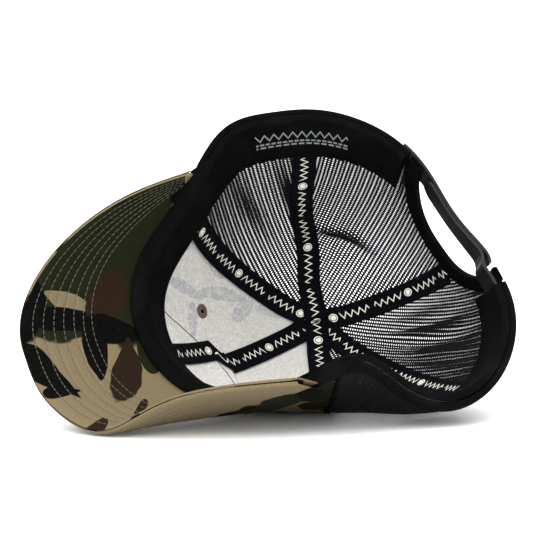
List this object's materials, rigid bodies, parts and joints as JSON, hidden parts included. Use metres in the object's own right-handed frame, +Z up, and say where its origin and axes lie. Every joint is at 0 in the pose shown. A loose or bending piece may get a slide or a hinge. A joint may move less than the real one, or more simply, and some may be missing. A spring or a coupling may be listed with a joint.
{
  "type": "trucker mesh cap",
  "caption": "Cap with camouflage cloth front, open mesh sides and back, curved stiff visor and a snap strap under the back arch, lying on its side.",
  "frame": {"origin": "on the floor, under the middle of the lying cap's bounding box", "axes": "+Z up from the floor, +X towards the snap strap with the visor at -X, -Y out of the head opening; the cap lies on its wearer's right side"},
  "size_m": [0.2502, 0.21, 0.1567],
  "materials": {
    "camo_twill": "matte cotton twill with a broad camouflage print",
    "buckram_backing": "stiff white open-weave backing",
    "black_mesh": "open knitted polyester mesh",
    "seam_tape": null,
    "black_twill": "matte twill",
    "interlining": "soft felt",
    "visor_board": "moulded polyethylene sheet",
    "strap_plastic": "satin",
    "eyelet_thread": "embroidered ring",
    "rivet_metal": "satin"
  },
  "bodies": {
    "cap": {"arch_binding": "black_twill", "back_centre_tape": "seam_tape", "back_left_tape": "seam_tape", "back_mesh_left": "black_mesh", "back_mesh_right": "black_mesh", "back_right_tape": "seam_tape", "buckram_left": "buckram_backing", "buckram_right": "buckram_backing", "button_rivet": "rivet_metal", "crown_button": "camo_twill", "eyelet_left": "eyelet_thread", "eyelet_right": "eyelet_thread", "front_centre_tape": "seam_tape", "front_left_tape": "seam_tape", "front_panel_left": "camo_twill", "front_panel_right": "camo_twill", "front_right_tape": "seam_tape", "hem_left": "black_twill", "hem_right": "black_twill", "side_mesh_left": "black_mesh", "side_mesh_right": "black_mesh", "sweatband": "black_twill", "sweatband_interlining": "interlining", "visor_board": "visor_board", "visor_top_cover": "camo_twill", "visor_under_cover": "camo_twill"},
    "socket_strap": {"socket_strap": "strap_plastic"},
    "stud_strap": {"stud_strap": "strap_plastic"}
  },
  "joints": [
    {"name": "socket_strap_bend", "type": "hinge", "parent": "cap", "child": "socket_strap", "pos_m": [0.06784, 0.03706, 0.13558], "axis": [0.3338, -0.9029, 0.2709], "range_deg": [0, 70], "stiffness_Nm_per_rad": 0.05},
    {"name": "stud_strap_bend", "type": "hinge", "parent": "cap", "child": "stud_strap", "pos_m": [0.11851, 0.00777, 0.05722], "axis": [0.0902, -0.7271, 0.6806], "range_deg": [0, 7], "stiffness_Nm_per_rad": 0.05}
  ]
}
